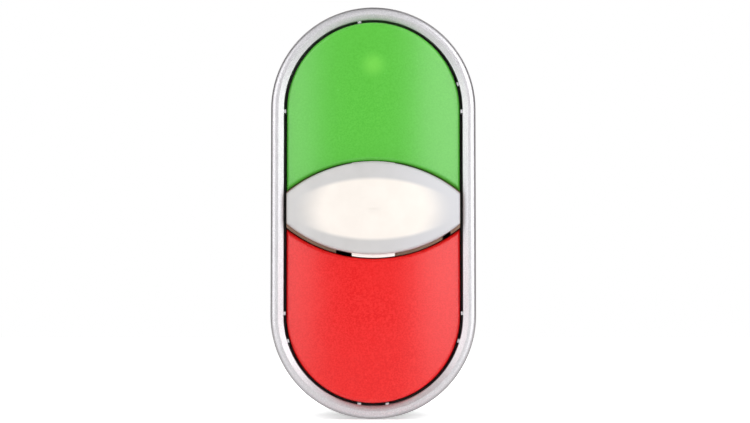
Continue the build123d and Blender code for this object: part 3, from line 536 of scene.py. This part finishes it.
def add_return_springs():
    """Winds the four return springs in place of their imported pieces; nothing here shortens them when a button is
    pressed.
    """
    for joint, node, turns, wire in (
        ("green_press", "green_return_spring", 3, 0.5 * MM),
        ("red_press", "red_return_spring", 3, 0.5 * MM),
        ("make_contact_travel", "make_contact_return_spring", 4, 0.45 * MM),
        ("break_contact_travel", "break_contact_return_spring", 4, 0.45 * MM),
    ):
        low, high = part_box(node)
        centre = ((low.x + high.x) / 2, (low.z + high.z) / 2)
        radius = (high.x - low.x) / 2 - wire / 2
        length = high.y - low.y
        piece = wound_spring(node.replace("return", "wound"), centre, radius, wire, turns, low.y, high.y)
        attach(piece, "unit")
        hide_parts(node)
        travel = next(j for j in frame["joints"] if j["name"] == joint)["range_m"][1]
        1 - travel / length
        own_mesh(piece)


# ------------------------------------------------------------------ studio
def add_floor():
    """A pale floor just under the unit's lowest edge. To the eye it shines white, but for a softly darker patch
    painted under the unit as its shadow, narrow from side to side and long from front to back. It lights the unit
    dimly."""
    half_width, clearance = 8, 0.1 * MM
    patch_from, patch_to, patch_slimness = 25, 120, 60
    painted_floor_shadow, fill_light = (0.42, 0.42, 0.42), (0.32, 0.32, 0.32)
    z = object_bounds()[0].z - clearance
    corners = [(x * half_width, y * half_width, z) for x, y in ((-1, -1), (1, -1), (1, 1), (-1, 1))]
    data = bpy.data.meshes.new("floor")
    data.from_pydata(corners, [], [(0, 1, 2, 3)])
    finish = Finish("studio_floor")
    clouds = finish.noise(40 * MM, detail=2)
    across, along = finish.axis(0), finish.axis(1)
    from_unit = (across * across * patch_slimness + along * along) ** 0.5
    # painted shadow: the floor's emission is darker in a patch under the unit
    shown = finish.mix(finish.step(from_unit, patch_from, patch_to), painted_floor_shadow, WHITE)
    data.materials.append(
        finish.principled(
            Base_Color=finish.mix(clouds, (0.93, 0.93, 0.93), (0.95, 0.95, 0.95)),
            Roughness=0.8,
            Emission_Color=finish.mix(finish.camera_ray(), fill_light, shown),
            Emission_Strength=1.0,
        )
    )
    floor = bpy.data.objects.new("floor", data)
    bpy.context.scene.collection.objects.link(floor)


def aim(piece, target):
    """Turns a light or the camera to face the target."""
    piece.rotation_euler = (Vector(target) - piece.location).to_track_quat("-Z", "Y").to_euler()


def add_soft_box(name, distance, around, above, width, height, brightness):
    """A soft box at an angle round and above the front, with its brightness per unit of its face."""
    data = bpy.data.lights.new(name, "AREA")
    data.shape = "RECTANGLE"
    data.size = width
    data.size_y = height
    data.energy = brightness * pi * width * height
    box = bpy.data.objects.new(name, data)
    turn, lift = radians(around), radians(above)
    box.location = Vector((sin(turn) * cos(lift), -cos(turn) * cos(lift), sin(lift))) * distance
    bpy.context.scene.collection.objects.link(box)
    aim(box, (0, 0, 0))


def add_surround():
    """A surround that is white to the eye and lights the unit only faintly."""
    world = bpy.data.worlds.new("surround")
    bpy.context.scene.world = world
    surround = NodeTree(world)
    surround.nodes.remove(surround.nodes["Background"])
    lighting = surround.node("ShaderNodeBackground", None, {"Color": WHITE, "Strength": 0.12})
    backdrop = surround.node("ShaderNodeBackground", None, {"Color": WHITE, "Strength": 1.0})
    chosen = surround.node("ShaderNodeMixShader", None, {0: surround.camera_ray(), 1: lighting, 2: backdrop})
    surround.feed(surround.nodes["World Output"].inputs["Surface"], chosen)


def add_lights():
    """A large soft box on each side of the front, a long one overhead and two small ones behind."""
    for name, distance, around, above, width, height, brightness in (
        ("left_soft_box", 0.6, -47, 3, 0.66, 0.7, 2.5),
        ("right_soft_box", 0.6, 43, 7, 0.66, 0.7, 3.4),
        ("overhead_soft_box", 0.7, 0, 64, 1.0, 0.4, 0.9),
        ("rear_left_soft_box", 0.7, -150, 38, 0.5, 0.5, 1.6),
        ("rear_right_soft_box", 0.7, 150, 38, 0.5, 0.5, 1.6),
    ):
        add_soft_box(name, distance, around, above, width, height, brightness)
    bpy.context.scene.view_settings.view_transform = "Standard"


def add_camera():
    """Looks at the front from slightly below its middle, filling the frame's height with it."""
    distance, below, seen_width = 0.3, radians(3.4), 108.4 * MM
    to_right, upward = 0.25 * MM, 0.02 * MM
    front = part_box("bezel")[0].y
    data = bpy.data.cameras.new("camera")
    data.lens = data.sensor_width * distance / seen_width
    camera = bpy.data.objects.new("camera", data)
    camera.location = (to_right, front - distance * cos(below), upward - distance * sin(below))
    bpy.context.scene.collection.objects.link(camera)
    aim(camera, (to_right, front, upward))
    bpy.context.scene.camera = camera


finish_cad_pieces()
add_return_springs()
add_floor()
add_surround()
add_lights()
add_camera()
